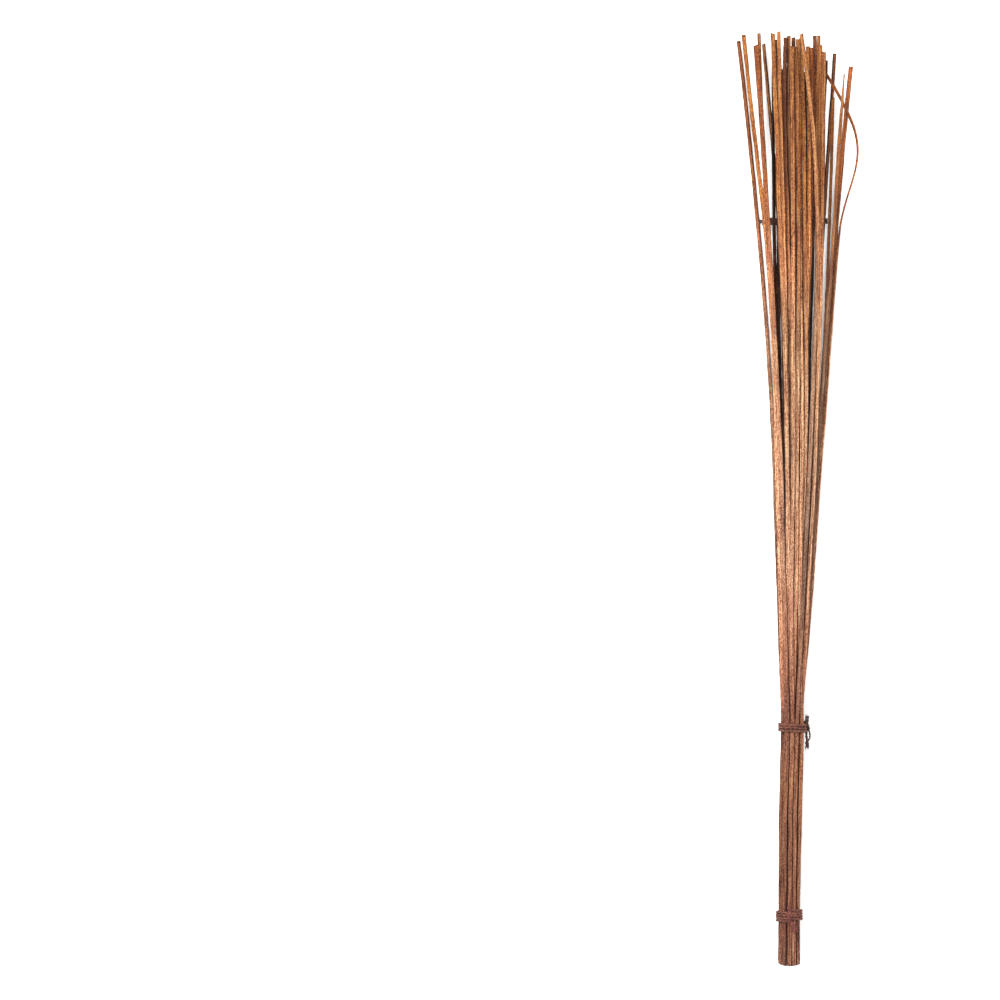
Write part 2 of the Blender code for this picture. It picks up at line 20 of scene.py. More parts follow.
import bpy
import numpy as np
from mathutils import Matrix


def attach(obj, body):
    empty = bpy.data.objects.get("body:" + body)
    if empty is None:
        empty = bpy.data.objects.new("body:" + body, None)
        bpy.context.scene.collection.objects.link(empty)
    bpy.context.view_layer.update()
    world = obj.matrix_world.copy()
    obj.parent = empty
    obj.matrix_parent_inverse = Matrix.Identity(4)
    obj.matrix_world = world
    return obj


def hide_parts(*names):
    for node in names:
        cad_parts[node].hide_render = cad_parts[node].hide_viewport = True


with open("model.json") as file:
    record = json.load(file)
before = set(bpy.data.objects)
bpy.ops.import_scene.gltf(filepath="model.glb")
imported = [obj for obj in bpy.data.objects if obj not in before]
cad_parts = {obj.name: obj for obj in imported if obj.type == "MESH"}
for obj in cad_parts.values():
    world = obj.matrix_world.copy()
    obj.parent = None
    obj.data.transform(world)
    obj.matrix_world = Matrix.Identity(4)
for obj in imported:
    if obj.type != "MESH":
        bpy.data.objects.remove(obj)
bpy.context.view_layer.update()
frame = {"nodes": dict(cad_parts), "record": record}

MM = 0.001
HALF_LENGTH = 500.0
REED_SEED, TIE_SEED = 40, 140
UP = np.array([0.0, 0.0, 1.0])
ALONG = np.array([0.0, 1.0, 0.0])

# Waves are smooth random heights, each given as its height, its length and, where it lies
# on a surface, its width. A line is evened out by its mean at so many steps, less the outer
# two, and points of a path nearer than the least gap count as one.
EVENING_STEPS, LEAST_GAP = 15, 1e-6

# Reeds. Kinks of the plain solid are evened out over the reach. Rings of points follow
# one another at even steps, from a little off each end on.
REACH, RING_STEP, END_ROOM = 16.0, 2.2, 2.4
CORNER_RADIUS = 0.24
# Rounding at the cut ends: how large each ring is, and how far it lies from the end. The
# first rings lie in the cut face, with so many bands between them. The outline is measured
# at a ring that is well clear of the foot.
END_SIZES = np.array([0.35, 0.72, 0.95, 1.0, 1.0])
END_STEPS = np.array([0.0, 0.0, 0.0, 0.12, 0.9])
FACE_BANDS, WHOLE_RING = 2, 9
# The slant of an end, from edge to edge: the most at a foot and at a tip, and that of
# some tips.
FOOT_SLANT, TIP_SLANT = 0.5, 0.9
SLANTS = {38: 0.9, 31: -0.9, 36: 1.0}
# How far a cut is torn, the length and width of its tears, how long the cut face counts as
# from its middle to its rim, and how far back slant and tears reach.
TORN, TEARS, FACE_LENGTH, END_FADE = 0.22, (6.0, 0.9), 40.0, 9.0
# The darkening of a cut end: how far back it reaches, and its share outside the cut face.
CUT_REACH, CUT_OUTSIDE = 1.6, 0.7
# The reeds draw in a little at the foot, over this length. The foot as a whole is rounded
# off at its sides: its middle and half width, by how much at most, and how soon.
FOOT_FADE, FOOT_TAPER = 6.0, 0.14
FOOT_MIDDLE, FOOT_HALF, FOOT_ROUND, FOOT_SOON = -9.0, 12.0, 2.2, 1.5
# A reed sways and turns only where nothing holds it.
FREE_FROM, FREE_OVER = 285.0, 130.0
SWAY_WAVES = ((0.28, 55.0), (0.112, 19.0))
TURN_WAVES = ((math.radians(5), 80.0),)
# Wear along each edge, and ridges along the fibres.
EDGE_WAVES = ((0.09, 4.0), (0.10, 13.0), (0.10, 45.0))
RIDGES = ((0.05, 30.0, 0.8), (0.035, 6.0, 0.7))
# Chips in each edge: how many, and the least and most of their depth and half length.
CHIPS, CHIP_DEPTHS, CHIP_LENGTHS = 9, (0.05, 0.35), (0.8, 3.0)
# Notches: for a reed, its side, the distance from the foot, the depth and half length.
NOTCHES = {37: (-1, 905.0, 0.5, 4.0), 34: (1, 812.0, 0.5, 6.0)}
# Each reed and each ply is cut from its own place in so wide a stretch of wood or bast.
WOOD_SPREAD, BAST_SPREAD = 400, 300

# The picture of a reed, in the unit square: rows one above the other, up to a height, with
# a margin at their ends and between them, and the two cut faces in columns above them.
MAP_ROWS, MAP_MARGIN, ROW_MARGIN, ROWS_HEIGHT = 9, 0.004, 0.03, 0.978
FACE_COLUMNS, FACE_HEIGHT, FACE_SHARE = (0.05, 0.15), 0.989, 0.9

# Reeds deep in the bunch are painted darker, as painted shade for lying under others. How much darker they
# are, from how far under others on, and how near these are. A reed that has ended covers nothing, so it
# counts as lying far off.
COVER_PAINTED_SHADE, COVER_FROM, COVER_OVER, COVER_REACH = 0.55, 3.0, 16.0, 6.0
FAR_OFF = -100
# Painted shade along the edges of a reed, on the edge away from the key light: how much darker that edge
# is, and on which side, and what share of this the other edge has. Some reeds stand on edge, and their
# narrow side is as light as the rest.
RIM_PAINTED_SHADE, RIM_PAINTED_SHADE_BEHIND, RIM_PAINTED_SHADE_FROM = 0.62, 0.3, 0.9
RIM_PAINTED_SHADES = {
    7: (0.3, 1), 10: (0.6, -1), 11: (0.0, 1), 13: (0.7, 1), 21: (0.5, -1), 29: (0.55, 1), 37: (0.55, 1),
}
STANDING = (11,)
# How light a reed is against the others of its finish. At the first of these distances
# from the foot all are alike, and the tones are those at the next four.
TONES_AT = (220, 400, 550, 735, 880)
ALIKE = (1, 1, 1, 1)
TONES = {
    4: (2.3, 2.3, 2.3, 2.3),
    6: (1.8, 1.8, 1.8, 1.6),
    7: (1.3, 1.3, 1.1, 1.0),
    10: (1.0, 1.0, 1.0, 0.7),
    11: (3.0, 3.4, 1.2, 1.15),
    12: (2.1, 2.1, 2.1, 2.1),
    13: (1.5, 1.5, 1.6, 1.6),
    14: (1.0, 1.0, 1.0, 9.0),
    15: (0.3, 0.3, 0.2, 11.0),
    16: (1.5, 1.5, 1.5, 1.5),
    17: (4.0, 4.0, 3.5, 0.5),
    19: (1.8, 1.8, 1.8, 1.8),
    20: (1.5, 1.5, 1.6, 2.5),
    21: (1.5, 1.5, 1.5, 1.5),
    22: (1.4, 1.4, 1.5, 1.5),
    23: (1.8, 1.8, 2.4, 1.4),
    25: (1.5, 1.5, 1.5, 0.55),
    26: (1.5, 1.5, 1.5, 1.5),
    27: (0.42, 0.38, 0.45, 0.82),
    28: (1.9, 1.9, 1.8, 1.2),
    29: (1.9, 1.9, 1.85, 1.3),
    30: (1.2, 1.25, 0.75, 1.05),
    31: (1.1, 1.1, 1.0, 0.95),
    32: (1.35, 1.1, 2.1, 0.75),
    33: (1.7, 0.95, 0.8, 1.0),
    34: (1.35, 1.1, 0.6, 0.83),
    35: (1.5, 1.0, 1.1, 1.1),
    36: (0.95, 1.2, 1.0, 0.9),
    37: (0.95, 0.7, 0.9, 0.75),
    38: (0.32, 0.56, 0.48, 0.95),
}

# Twine. Its lay, the offset and radius of its plies, the radius of their fibres and the
# length over which they draw in at an end are shares of its diameter. At the very end the
# plies have the root of the last share of their radius.
PLIES, STRANDS, PLY_SIDES = 2, 6, 12
LAY, PLY_OFFSET, PLY_RADIUS, FIBRE_RADIUS = 3.4, 0.19, 0.35, 0.3
DRAWN_IN, END_LEAST = 0.4, 0.25
# How high a strand stands on its ply, and how fast the ply turns against the twine.
STRAND_HEIGHT, STRAND_TURN = 0.04, 0.7
# How uneven the lay is, how the plies swell and stand off the middle, the fuzz on them, how
# their tone changes, and how the turns of a tie wander up and down.
LAY_WAVES = ((0.35, 6.0),)
SWELL_WAVES = ((0.10, 2.5), (0.07, 0.9))
OFFSET_WAVES = ((0.12, 4.0),)
FUZZ_WAVES = ((0.05, 0.8, 0.5),)
TONE_WAVES = ((0.12, 9.0),)
BAND_WAVES = ((0.35, 14.0),)
# Steps along the turns and along the loose ends, and over what reach kinks are evened out.
TWINE_STEP, TURN_REACH = 0.5, 1.6
END_STEP, END_REACH = 0.4, 1.8

# Loose fibres: the least and most of their length, their thickness, and how far they bend
# aside as a share of their length. Some come out of each cut end of the twine: how much
# their ways spread, how far inside the cut they start, and how far apart.
FRAYED, FRAYED_COUNT = ((1.2, 3.2), (0.10, 0.17), (0, 0.5)), 9
FRAYED_SPREAD, FRAYED_ROOT, FRAYED_APART = 0.28, 0.6, 0.2
# Finer ones stand off its turns: how far from its middle they start, how steeply they rise,
# how much their ways spread, and how many steps they keep from its ends.
HAIRS, HAIRS_PER_MM = ((0.8, 2.8), (0.03, 0.06), (0, 0.8)), 0.3
HAIR_ROOT, HAIR_RISE, HAIR_SPREAD, HAIR_CLEAR = 0.42, 0.6, 0.25, 4
# All are tubes of so many rings and sides that lose this share of their thickness, and are
# darker or lighter than the twine by up to these shares.
FIBRE_RINGS, FIBRE_SIDES, FIBRE_TAPER, FIBRE_TONES = 5, 3, 0.8, (0.8, 1.5)

# Ties, with sizes across, along and up. "near" is the X and height that the knot is
# nearest to, "tones" are for the turns, the knot and the ends, and each of the ends is the
# thickness of its twine and its way from the middle of the knot.
TIES = {
    "upper_tie": {
        "piece": "upper_twine",
        "at": 256.0,
        "diameter": 2.8,
        "turns": 3,
        "pitch": 3.1,
        "near": (23.2, 17.0),
        "knot": (7.8, 10.5, 7.0),
        "tones": (1.12, 0.45, 0.3),
        "redness": 0.0,
        "ends": (
            (2.1, ((0, 0, 1), (-0.6, 6, 1.6), (-0.5, 12.0, 1.0))),
            (2.1, ((0, 0, 0), (1.3, 6, 0.4), (1.6, 11.5, 1.2))),
            (2.7, ((-0.3, -2, 1), (-0.4, -8, 2.2), (0.0, -13, 2.4), (0.8, -17, 2.2), (1.6, -23, 1.4))),
            (1.8, ((1.8, -2, 0), (3.4, -7, 1.2), (3.4, -12, 2.2), (0.4, -16.5, 3.4), (-1.2, -23, 2.4))),
        ),
        "small_knot": (0.5, -17.0, 2.6),
    },
    "lower_tie": {
        "piece": "lower_twine",
        "at": 54.0,
        "diameter": 2.8,
        "turns": 4,
        "pitch": 2.9,
        "near": (-8.8, 36.0),
        "knot": (6.4, 11.0, 4.8),
        "tones": (1.05, 0.95, 1.05),
        "redness": 0.75,
        "ends": (
            (2.4, ((0, 0, 0), (-0.4, 5.8, -0.6), (0.6, 11.0, -0.9))),
            (2.2, ((0, 0, 0), (-0.8, 5.8, -0.6), (-2.2, 9.5, -0.9))),
            (2.4, ((0, 0, 0), (0.8, -5.8, -0.6), (3.2, -10, 0.2), (5.6, -19.0, -0.9))),
            (2.4, ((0, 0, 0), (0.8, -5.8, -0.6), (4.8, -9.5, 0.4), (8.0, -16.5, -0.9))),
        ),
        "small_knot": None,
    },
    "back_tie": {
        "piece": "back_twine",
        "at": 797.8,
        "diameter": 2.2,
        "turns": 3,
        "pitch": 1.7,
        "near": (-66.8, 15.0),
        "knot": (4.0, 6.5, 4.0),
        # The back tie lies behind the reeds, and its low tones are painted shade.
        "tones": (0.5, 0.4, 0.3),
        "redness": 0.0,
        "ends": (
            (2.2, ((0, 0, 0), (-2.4, 0.9, -5.0), (-4.4, 0.9, -9.6))),
            (2.2, ((0, 0, 0), (-2.0, -0.9, -5.0), (-3.8, -1.4, -9.4))),
        ),
        "small_knot": None,
    },
}
# The reeds at the back that the back tie holds, and how far to both sides of its middle a
# tie lies against the reeds.
BACK_TIE_REEDS = (1, 2, 3, 4, 5, 8, 9, 10, 12, 13, 14, 15, 17, 24)
TIE_HALF_BAND = 6.5
# Directions in which a loop of twine looks for the outermost reed, the widest bend that it
# makes in one, in degrees, and the room that it keeps to the reeds.
ANGLE_STEP, WIDEST_BEND, ROOM = 0.5, 30.0, 0.15
# Knots: the stretch of the curve, its points and its greatest reach, the cord against that
# of its tie, and how much of the knot's redness the turns have.
KNOT_FROM, KNOT_TO, KNOT_POINTS, KNOT_REACH = 0.25, 2 * math.pi - 0.1, 90, 2.9
KNOT_SHARE, BAND_REDNESS = 1.15, 0.15
# The small knots that lock both ends of the turns, and the one on a loop: their size,
# thickness of twine, and how far the first stand out or the second is turned.
LOCK_SIZE, LOCK_TWINE, LOCK_OUT, LOCK_TURN = (4.4, 4.2, 4.4), 1.7, 0.5, 3
SMALL_SIZE, SMALL_TWINE, SMALL_TURN = (5.0, 5.6, 4.2), 2.2, 0.8

# The grain of a split reed. Of each kind of mark the width and length in millimetres, how
# many finer sizes it has and how rough these are, and then how strongly it shows. The
# pores of such wood are about 0.2 mm wide, too fine for a picture of the whole bunch, so
# specks and dashes are drawn twice as wide. Streaks go from one strength to another
# between two distances from the foot, and hair lines, where the noise is near its middle,
# from one lightness to another between two distances from it.
SPECKS, SPECKLED = (0.45, 1.6, 1.0, 0.5), 1.6
DASHES, DASHED = (0.45, 5.5, 3.0, 0.62), 0.6
PATCHES, PATCHED = (1.7, 13.0, 2.0, 0.5), 0.15
STAIN, STAINED = (9.0, 55.0, 1.0, 0.5), 0.3
STREAKS, STREAKED = (0.6, 38.0, 2.0, 0.5), (60.0, 300.0, 2.4, 1.35)
LINES, LINED = (0.55, 90.0, 1.0, 0.5), (0.0, 0.03, 0.4, 1.0)
# How much darker split sides are, partly in their own colour and partly as painted shade, and how much
# darker cut ends are; how much lighter edges are, partly by wear and partly as a painted highlight, and
# where they are light: the patches times the first number, plus the second.
SIDE_TONE_AND_PAINTED_SHADE, CUT_SHADE, EDGE_WEAR_AND_HIGHLIGHT, WEAR_AND_HIGHLIGHT_SPREAD = -0.38, -0.7, 0.35, (1.5, -0.45)
# How deep the grain is in millimetres, how strongly it shows, and the shares of dashes and
# hair lines in it. How rough the wood is at its darkest, how much less at its lightest, and
# how much it shines.
GRAIN_DEPTH, GRAIN_BUMP, DASH_DEPTH, LINE_DEPTH = 0.22, 0.9, 0.8, 0.35
WOOD_ROUGHNESS, WOOD_GLOSS, WOOD_SHINE = 0.72, -0.25, 0.2

# Reeds' finishes: the name of each, its colours from dark to pale, and those of its tips.
WOOD_STOPS = (0.22, 0.46, 0.62, 0.82)
WOODS = {
    "golden_reed": (
        "split_reed_golden", ("#5e301e", "#9c694a", "#b58160", "#dcb88c"), ("#dcba86", "#d2b070"),
    ),
    "tan_reed": (
        "split_reed_tan", ("#6a4230", "#a87759", "#bf8e6e", "#e0bc98"), ("#d6ba92", "#c9aa7a"),
    ),
    "reddish_reed": (
        "split_reed_reddish", ("#4c2416", "#86573e", "#9c6f52", "#c89c78"), ("#e0b078", "#d6a260"),
    ),
    "brown_reed": (
        "split_reed_brown", ("#3e2216", "#724e37", "#88624a", "#b28d6c"), ("#dcba86", "#d2b070"),
    ),
    # The dark finish is painted shade: it goes on reeds deep in the bunch so that they look shaded, and
    # only their tips are light.
    "dark_reed": (
        "split_reed_dark_painted_shade", ("#140b09", "#26150f", "#3a2118", "#5a3a2a"), ("#d6b98c", "#cfae70"),
    ),
}
# How the colour changes from the foot to the tips, darkest near the foot and darker up to just past the
# upper tie: place as a share of a metre, and colour.
COLOUR_ALONG = (
    (0.0, "#b5a2a3"), (0.04, "#9b7d76"), (0.1, "#a28a7e"), (0.19, "#b59d8e"),
    (0.274, "#b39999"), (0.305, "#d4bfbc"), (0.36, "#dccbc8"), (0.42, "#ece9ee"),
    (0.5, "#f1f0f3"), (0.6, "#fffdfa"), (0.66, "#fffcf1"), (0.745, "#f8dcc0"),
)
TIPS_AT = (0.83, 0.95)

# The bast of the twine: its fibres and patches as for the reeds, how light it is between the strands, which
# is painted shade, and how much lighter on them, which is a painted highlight, and its colours, plain and
# red.
BAST, BAST_SHOWN = (0.16, 2.6, 2.0, 0.6), 0.8
BAST_PATCHES, BAST_PATCHED = (1.4, 7.0, 2.0, 0.5), 1.1
GROOVE_PAINTED_SHADE, CREST_PAINTED_HIGHLIGHT = 0.36, 0.22
BAST_DEPTH, BAST_BUMP, BAST_ROUGHNESS, BAST_IOR = 0.2, 0.8, 0.85, 1.5
TWINE_STOPS = (0.2, 0.58, 0.92)
TWINE_COLOURS = ("#28130c", "#5c2f20", "#93684c")
RED_COLOURS = ("#30120f", "#6a2c2a", "#9a5a50")

# Floor, light and camera, in metres. The camera looks straight down on the bunch, from so
# far that it shows no depth. The picture is this wide at the height of the reeds, and the
# bunch lies right of its middle.
FLOOR_HALF, FLOOR_COLOUR, WHITE = 40, "#faf9f7", "#ffffff"
FLOOR_ROUGHNESS, FLOOR_SHINE, FLOOR_GLOW = 0.9, 0.2, 0.16
KEY_PLACE, KEY_SIZE, KEY_POWER = (-1.7, 1.8, 4.2), 1.8, 260
STUDIO_LIGHT = 1.55
PICTURE_WIDTH, PICTURE_MIDDLE, REED_HEIGHT = 1.071, (-0.3194, -0.0009), 0.025
LENS, SIGHT = 400.0, 100


# Shapes

def rough(random, along, across, long, wide=1):
    """Smooth random heights from -1 to 1.

    Random values on a lattice of wide by long millimetres, joined between its points by
    the S-curve 3t^2 - 2t^3 both ways.
    """
    u, v = np.broadcast_arrays((across - np.min(across)) / wide, (along - np.min(along)) / long)
    lattice = random.uniform(-1, 1, (int(u.max()) + 2, int(v.max()) + 2))
    i, j = u.astype(int), v.astype(int)
    s, t = u - i, v - j
    s, t = s * s * (3 - 2 * s), t * t * (3 - 2 * t)
    low = lattice[i, j] * (1 - t) + lattice[i, j + 1] * t
    high = lattice[i + 1, j] * (1 - t) + lattice[i + 1, j + 1] * t
    return low * (1 - s) + high * s


def summed(random, waves, along, across=0):
    """The sum of these waves of smooth random heights."""
    return sum(height * rough(random, along, across, *size) for height, *size in waves)


def way_along(path):
    """How far each point lies from the first, as the sum of the steps up to it."""
    return np.concatenate([[0], np.cumsum(np.linalg.norm(np.diff(path, axis=0), axis=1))])


def evened(at, known_at, known, reach):
    """Rows on the straight lines between known ones, with their kinks evened out.

    Each is the mean of the lines up to reach before and after it, weighted by one plus
    a cosine that is lowest at both limits. Beyond its ends the line goes straight on.
    """
    first = known[0] - (known[1] - known[0]) / (known_at[1] - known_at[0]) * reach
    last = known[-1] + (known[-1] - known[-2]) / (known_at[-1] - known_at[-2]) * reach
    known = np.vstack([first, known, last])
    known_at = np.concatenate([[known_at[0] - reach], known_at, [known_at[-1] + reach]])
    offsets = np.linspace(-reach, reach, EVENING_STEPS)[1:-1]
    weights = 1 + np.cos(np.pi * offsets / reach)
    weights /= weights.sum()
    places = at[:, None] + offsets
    return np.stack([np.interp(places, known_at, column) @ weights for column in known.T], axis=1)


def unit(rows):
    """Each row divided by its length."""
    return rows / np.linalg.norm(rows, axis=-1, keepdims=True)


def square_to(rows, directions):
    """What is left of each row when its share along the unit direction is taken off."""
    return rows - (rows * directions).sum(-1, keepdims=True) * directions


def carried(centre, x, y, right, over):
    """A profile carried along a path: each ring's centre plus x to the right and y over."""
    return centre[..., None, :] + x[..., None] * right[..., None, :] + y[..., None] * over[..., None, :]


def surface(places, fibre, marks, tone):
    """The rows of a surface, from its places and the seven numbers that go with each."""
    rows = np.empty((*places.shape[:-1], 10))
    rows[..., :3] = places
    for column, values in enumerate((*fibre, *marks, tone), 3):
        rows[..., column] = values
    return rows


def tube_faces(rings, sides):
    """The faces of a closed tube of so many rings of points, closed by a point at each
    end, which come after all the rings."""
    ring, side = np.mgrid[:rings - 1, :sides]
    here, beside = ring * sides + side, ring * sides + (side + 1) % sides
    quads = np.stack([here, here + sides, beside + sides, beside], -1).reshape(-1, 4)
    side = np.arange(sides)
    beside = (side + 1) % sides
    foot, last = rings * sides, (rings - 1) * sides
    caps = np.vstack([
        np.stack([foot + 0 * side, side, beside], -1),
        np.stack([foot + 1 + 0 * side, last + beside, last + side], -1),
    ])
    return quads, caps


def closed(rings):
    """Rings of rows as one list, with the mean of the first and of the last ring after it."""
    return np.vstack([rings.reshape(-1, rings.shape[2]), rings[0].mean(0), rings[-1].mean(0)])


def piece(name, rows, quads, triangles, finish, solid, slot, picture=None):
    """Puts a surface into the scene as a piece of the object, which stands for a solid.

    Its places go from millimetres to metres, and none is left below the ground.
    """
    mesh = bpy.data.meshes.new(name)
    places = rows[:, :3] * MM
    places[:, 1] -= HALF_LENGTH * MM
    places[:, 2] = np.maximum(places[:, 2], 0)
    mesh.from_pydata(places.tolist(), [], [*quads.tolist(), *triangles.tolist()])
    for attribute, kind, field, values in (
        ("fibre", "FLOAT_VECTOR", "vector", rows[:, 3:6]),
        ("place", "FLOAT_VECTOR", "vector", rows[:, 6:9]),
        ("tone", "FLOAT", "value", rows[:, 9]),
    ):
        made = mesh.attributes.new(attribute, kind, "POINT")
        made.data.foreach_set(field, values.astype(np.float32).ravel())
    if picture is not None:
        made = mesh.uv_layers.new(name="OFBake")
        made.data.foreach_set("uv", picture.astype(np.float32).ravel())
    mesh.shade_smooth()
    mesh.materials.append(finish)
    thing = bpy.data.objects.new(name, mesh)
    bpy.context.scene.collection.objects.link(thing)
    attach(thing, "root")
    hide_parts(solid)


# Reeds

def solid_line(solid):
    """The plain solid of a reed as rows: its stations, middles, and half width and half
    thickness as vectors.

    The solid's corners come in fours. In each four, the corner nearest to the first lies
    across the thickness, and the next nearest lies across the width.
    """
    mesh = frame["nodes"][solid].data
    places = np.empty(3 * len(mesh.vertices), np.float32)
    mesh.vertices.foreach_get("co", places)
    places = np.unique(np.round(places.reshape(-1, 3) / MM, 3), axis=0)
    corners = places[np.argsort(places[:, 1])].reshape(-1, 4, 3)
    corners[:, :, 1] += HALF_LENGTH
    sides = corners[:, 1:] - corners[:, :1]
    order = np.argsort(np.linalg.norm(sides, axis=2), axis=1)
    sides = np.take_along_axis(sides, order[:, :, None], axis=1)
    thick, wide = sides[:, 0] / 2, sides[:, 1] / 2
    middle = corners.mean(1)
    return middle[:, 1], middle, wide * np.sign(wide[:, :1]), thick * np.sign(thick[:, 2:])


REEDS = sorted(name for name in frame["nodes"] if name.startswith("reed"))
REED_LINES = {name: solid_line(name) for name in REEDS}


def section_outline():
    """The outline of a strip's section, from the middle of its right side upwards.

    Each point is a share of the half width and half thickness that are left inside the
    rounded corners, plus a direction in which it stands off by the corner's radius. The
    left of the upper half mirrors its right, and the lower half is the upper one turned.
    """
    bend = math.sqrt(0.5)
    right = np.array([
        (1, 0, 1, 0), (1, 1, 1, 0), (1, 1, bend, bend), (1, 1, 0, 1), (0.84, 1, 0, 1), (0.3, 1, 0, 1),
    ])
    upper = np.vstack([right, right[:0:-1] * (-1, 1, -1, 1)])
    outline = np.vstack([upper, -upper])
    return outline[:, :2], outline[:, 2:]


SHARES, WAYS = section_outline()
SIDES = len(SHARES)
ON_EDGE, ON_SIDE = WAYS.prod(1) != 0, WAYS[:, 0] ** 2


def strip_line(random, solid, along):
    """The line of a reed: its middles, half widths and half thicknesses, and the
    directions along it, to its right and out of its broad face.

    It is the evened line of the plain solid. Where nothing holds the reed, waves sway it
    to its side and turn it about itself.
    """
    known_at, *known = REED_LINES[solid]
    middle, wide, thick = (evened(along, known_at, rows, REACH) for rows in known)
    half_width = np.linalg.norm(wide, axis=1)[:, None]
    half_thickness = np.linalg.norm(thick, axis=1)[:, None]
    ahead, behind = (evened(along + step, known_at, known[0], REACH) for step in (1, -1))
    forward = unit(ahead - behind)
    right = unit(square_to(wide, forward))
    over = np.cross(right, forward)
    free = np.clip((along - FREE_FROM) / FREE_OVER, 0, 1)[:, None]
    sway = free * summed(random, SWAY_WAVES, along)[:, None]
    turn = free * summed(random, TURN_WAVES, along)[:, None]
    right, over = right * np.cos(turn) + over * np.sin(turn), over * np.cos(turn) - right * np.sin(turn)
    return middle + sway * right, half_width, half_thickness, forward, right, over


def worn_section(random, number, along, half_width, half_thickness):
    """The section of a reed at each ring, as places across and through it, and how far
    round the outline each of its points lies.

    Each side moves in and out by waves, less a bell-shaped dip at each chip. The broad
    faces rise and fall in ridges that run with the fibres.
    """
    inside = np.stack([half_width - CORNER_RADIUS, half_thickness - CORNER_RADIUS], -1)
    outline = SHARES * inside + WAYS * CORNER_RADIUS
    around = way_along(np.vstack([outline[WHOLE_RING], outline[WHOLE_RING, :1]]))
    x, y = outline[..., 0], outline[..., 1]
    ragged = np.zeros_like(x)
    for way in (1, -1):
        dips = [random.uniform(*span, CHIPS) for span in (along[[0, -1]], CHIP_DEPTHS, CHIP_LENGTHS)]
        if number in NOTCHES and NOTCHES[number][0] == way:
            dips = [np.append(dip, value) for dip, value in zip(dips, NOTCHES[number][1:])]
        place, depth, length = dips
        chips = (depth * np.exp(-(((along[:, None] - place) / length) ** 2))).sum(1)
        edge = summed(random, EDGE_WAVES, along) - chips
        ragged += np.where(way * x > 0, edge[:, None], 0)
    x = x * (1 + ragged / half_width)
    ridges = summed(random, RIDGES, along[:, None], around[:-1])
    return x + WAYS[:, 0] * ridges, y + WAYS[:, 1] * ridges, around


def cover_for_painted_shade(solid, middle, along):
    """How deep each place of a reed lies under others, from 0 to 1, which sets how much painted shade it
    gets.

    Another reed counts by how much higher it lies, and less by the square of how far to
    one side, as exp(-d^2).
    """
    most = np.zeros(len(along))
    for other, (known_at, line, _, _) in REED_LINES.items():
        if other != solid:
            x, z = (np.interp(along, known_at, line[:, axis], right=FAR_OFF) for axis in (0, 2))
            higher = np.clip((z - middle[:, 2] - COVER_FROM) / COVER_OVER, 0, 1)
            most = np.maximum(most, higher * np.exp(-(((x - middle[:, 0]) / COVER_REACH) ** 2)))
    return most


def strip_tone_and_shade(solid, number, middle, along):
    """How light a reed is: its own tones on straight lines between their distances from the foot, times
    what the painted shade under other reeds and along its edges leaves."""
    rim_shade, shaded_side = RIM_PAINTED_SHADES.get(number, (RIM_PAINTED_SHADE, 1))
    across = shaded_side * SHARES[:, 0]
    # Painted shade: the edge away from the light is darker, the other edge a little.
    shaded_edges = np.select([across > RIM_PAINTED_SHADE_FROM, across < -RIM_PAINTED_SHADE_FROM], [1 - rim_shade, 1 - rim_shade * RIM_PAINTED_SHADE_BEHIND], 1.0)
    tone = np.interp(along, TONES_AT, (1, *TONES.get(number, ALIKE)))
    return (tone * (1 - COVER_PAINTED_SHADE * cover_for_painted_shade(solid, middle, along)))[:, None] * shaded_edges


def strip_picture(along, around, outline, quads, caps):
    """Where each corner of a strip's faces lies in its own picture, in the unit square.

    The strip is cut across into rows that lie one above the other, each as wide as the
    square, and the two cut ends lie flat above them.
    """
    stations = along[FACE_BANDS:-FACE_BANDS]
    segments = len(stations) - 1
    row = np.arange(segments) * MAP_ROWS // segments
    first = -(-np.arange(MAP_ROWS + 1) * segments // MAP_ROWS)
    start = stations[first[row]]
    width = (1 - 2 * MAP_MARGIN) / (stations[first[row + 1]] - start)
    near = MAP_MARGIN + width * (stations[:-1] - start)
    far = MAP_MARGIN + width * (stations[1:] - start)
    up = row[:, None] + ROW_MARGIN + (1 - 2 * ROW_MARGIN) * around / around[-1]
    up *= ROWS_HEIGHT / MAP_ROWS
    body = np.empty((segments, SIDES, 4, 2))
    body[:, :, [0, 3], 0] = near[:, None, None]
    body[:, :, [1, 2], 0] = far[:, None, None]
    body[:, :, [0, 1], 1] = up[:, :-1, None]
    body[:, :, [2, 3], 1] = up[:, 1:, None]

    flat = np.vstack([outline.reshape(-1, 2), np.zeros((2, 2))]) * FACE_SHARE / (MAP_ROWS * around[-1])
    foot, tip = (np.array([column, FACE_HEIGHT]) for column in FACE_COLUMNS)
    face = FACE_BANDS * SIDES
    parts = (
        foot + flat[quads[:face]], body, tip + flat[quads[-face:]],
        foot + flat[caps[:SIDES]], tip + flat[caps[SIDES:]],
    )
    return np.vstack([part.reshape(-1, 2) for part in parts])


